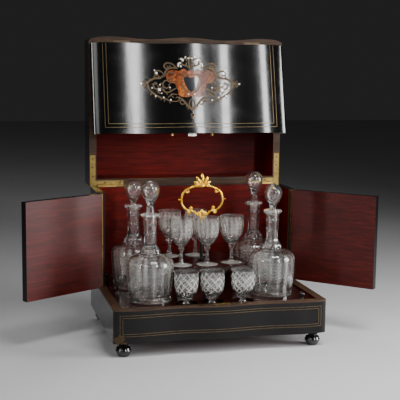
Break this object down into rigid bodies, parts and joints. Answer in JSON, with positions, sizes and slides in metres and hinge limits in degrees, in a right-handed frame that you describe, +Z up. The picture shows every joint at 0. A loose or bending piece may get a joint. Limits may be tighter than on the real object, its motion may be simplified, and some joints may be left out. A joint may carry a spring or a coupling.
{
  "type": "antique tantalus",
  "caption": "Serpentine-front liquor cabinet on bun feet: deep hinged lid with a folding front panel, side doors, and a lift-out rack of stoppered decanters and stemmed glasses.",
  "frame": {"origin": "bottom centre of the box round the open cabinet as it stands in its rest pose, on the surface under its feet", "axes": "+Z up, +Y from the front of the cabinet to its back, +X to the right seen from the front"},
  "size_m": [0.5584, 0.3144, 0.473],
  "materials": {
    "ebonised_wood": "high gloss shellac polish, rubbed at the edges",
    "mahogany": "satin, red mahogany with straight grain",
    "walnut_rim": "satin, worn",
    "brass": "dull old brass",
    "gilt": "fire-gilt, bright",
    "cut_glass": "clear, cut and polished"
  },
  "bodies": {
    "case": {"base_walls": "ebonised_wood", "base_floor": "mahogany", "base_rim": "walnut_rim", "foot_front_left": "ebonised_wood", "foot_front_right": "ebonised_wood", "foot_rear_left": "ebonised_wood", "foot_rear_right": "ebonised_wood", "back_wall": "mahogany", "side_wall_left": "ebonised_wood", "side_wall_right": "ebonised_wood", "door_hinge_case_leaves": "brass", "door_hinge_pins": "brass", "case_screws": "brass", "striker_plate": "brass", "lid_hinge_case_leaves": "brass"},
    "lid_pivot": {"lid_hinge_pins": "brass"},
    "lid": {"lid_frame": "ebonised_wood", "lid_top": "ebonised_wood", "lid_corner_leaves": "brass", "lid_screws": "brass", "panel_hinge_lid_leaves": "brass", "panel_hinge_pins": "brass"},
    "panel": {"front_panel": "ebonised_wood", "panel_hinge_leaves": "brass", "lock_case": "brass", "keyhole_escutcheon": "brass", "locating_dowels": "brass"},
    "bolt": {"lock_bolt": "brass"},
    "left_door": {"door_left": "mahogany", "door_left_leaf": "brass"},
    "right_door": {"door_right": "mahogany", "door_right_leaf": "brass"},
    "rack": {"rack_board": "ebonised_wood", "rack_posts": "ebonised_wood", "rack_tray": "ebonised_wood", "rack_columns": "ebonised_wood", "rack_shelf": "ebonised_wood", "tray_finials": "ebonised_wood", "handle_stem": "gilt", "handle": "gilt"},
    "decanter_body_front_left": {"decanter_front_left": "cut_glass"},
    "stopper_body_front_left": {"stopper_front_left": "cut_glass"},
    "decanter_body_front_right": {"decanter_front_right": "cut_glass"},
    "stopper_body_front_right": {"stopper_front_right": "cut_glass"},
    "decanter_body_rear_left": {"decanter_rear_left": "cut_glass"},
    "stopper_body_rear_left": {"stopper_rear_left": "cut_glass"},
    "decanter_body_rear_right": {"decanter_rear_right": "cut_glass"},
    "stopper_body_rear_right": {"stopper_rear_right": "cut_glass"},
    "shelf_glass_1": {"glass_shelf_1": "cut_glass"},
    "shelf_glass_2": {"glass_shelf_2": "cut_glass"},
    "shelf_glass_3": {"glass_shelf_3": "cut_glass"},
    "shelf_glass_4": {"glass_shelf_4": "cut_glass"},
    "shelf_glass_5": {"glass_shelf_5": "cut_glass"},
    "tray_glass_1": {"glass_tray_1": "cut_glass"},
    "tray_glass_2": {"glass_tray_2": "cut_glass"},
    "tray_glass_3": {"glass_tray_3": "cut_glass"}
  },
  "joints": [
    {"name": "lid_swing_first", "type": "hinge", "parent": "case", "child": "lid_pivot", "pos_m": [0.01034, 0.09085, 0.225], "axis": [-1, 0, 0], "range_deg": [-40, 0]},
    {"name": "lid_swing_second", "type": "hinge", "parent": "lid_pivot", "child": "lid", "pos_m": [0.01034, 0.09085, 0.225], "axis": [-1, 0, 0], "range_deg": [-50, 0]},
    {"name": "panel_fold", "type": "hinge", "parent": "lid", "child": "panel", "pos_m": [0.01034, 0.09085, 0.4605], "axis": [1, 0, 0], "range_deg": [-76.7, 0]},
    {"name": "lock_bolt_slide", "type": "slide", "parent": "panel", "child": "bolt", "axis": [0, 0.23, 0.9732], "range_m": [0, 0.0035]},
    {"name": "left_door_swing", "type": "hinge", "parent": "case", "child": "left_door", "pos_m": [-0.15466, 0.00285, 0.14925], "axis": [0, 0, -1], "range_deg": [-58.3, 41.7]},
    {"name": "right_door_swing", "type": "hinge", "parent": "case", "child": "right_door", "pos_m": [0.17534, 0.00285, 0.14925], "axis": [0, 0, 1], "range_deg": [-45.2, 54.8]},
    {"name": "rack_lift", "type": "slide", "parent": "case", "child": "rack", "axis": [0, 0, 1], "range_m": [0, 0.155]},
    {"name": "decanter_front_left_lift", "type": "slide", "parent": "rack", "child": "decanter_body_front_left", "axis": [0, 0, 1], "range_m": [0, 0.16]},
    {"name": "stopper_front_left_pull", "type": "slide", "parent": "decanter_body_front_left", "child": "stopper_body_front_left", "axis": [0, 0, 1], "range_m": [0, 0.024]},
    {"name": "decanter_front_right_lift", "type": "slide", "parent": "rack", "child": "decanter_body_front_right", "axis": [0, 0, 1], "range_m": [0, 0.16]},
    {"name": "stopper_front_right_pull", "type": "slide", "parent": "decanter_body_front_right", "child": "stopper_body_front_right", "axis": [0, 0, 1], "range_m": [0, 0.024]},
    {"name": "decanter_rear_left_lift", "type": "slide", "parent": "rack", "child": "decanter_body_rear_left", "axis": [0, 0, 1], "range_m": [0, 0.16]},
    {"name": "stopper_rear_left_pull", "type": "slide", "parent": "decanter_body_rear_left", "child": "stopper_body_rear_left", "axis": [0, 0, 1], "range_m": [0, 0.024]},
    {"name": "decanter_rear_right_lift", "type": "slide", "parent": "rack", "child": "decanter_body_rear_right", "axis": [0, 0, 1], "range_m": [0, 0.16]},
    {"name": "stopper_rear_right_pull", "type": "slide", "parent": "decanter_body_rear_right", "child": "stopper_body_rear_right", "axis": [0, 0, 1], "range_m": [0, 0.024]},
    {"name": "shelf_glass_1_lift", "type": "slide", "parent": "rack", "child": "shelf_glass_1", "axis": [0, 0, 1], "range_m": [0, 0.09]},
    {"name": "shelf_glass_2_lift", "type": "slide", "parent": "rack", "child": "shelf_glass_2", "axis": [0, 0, 1], "range_m": [0, 0.09]},
    {"name": "shelf_glass_3_lift", "type": "slide", "parent": "rack", "child": "shelf_glass_3", "axis": [0, 0, 1], "range_m": [0, 0.09]},
    {"name": "shelf_glass_4_lift", "type": "slide", "parent": "rack", "child": "shelf_glass_4", "axis": [0, 0, 1], "range_m": [0, 0.09]},
    {"name": "shelf_glass_5_lift", "type": "slide", "parent": "rack", "child": "shelf_glass_5", "axis": [0, 0, 1], "range_m": [0, 0.09]},
    {"name": "tray_glass_1_lift", "type": "slide", "parent": "rack", "child": "tray_glass_1", "axis": [0, 0, 1], "range_m": [0, 0.09]},
    {"name": "tray_glass_2_lift", "type": "slide", "parent": "rack", "child": "tray_glass_2", "axis": [0, 0, 1], "range_m": [0, 0.09]},
    {"name": "tray_glass_3_lift", "type": "slide", "parent": "rack", "child": "tray_glass_3", "axis": [0, 0, 1], "range_m": [0, 0.09]}
  ],
  "couplings": [
    {"joint": "panel_fold", "follows": "lid_swing_first", "ratio": 1.9175}
  ]
}
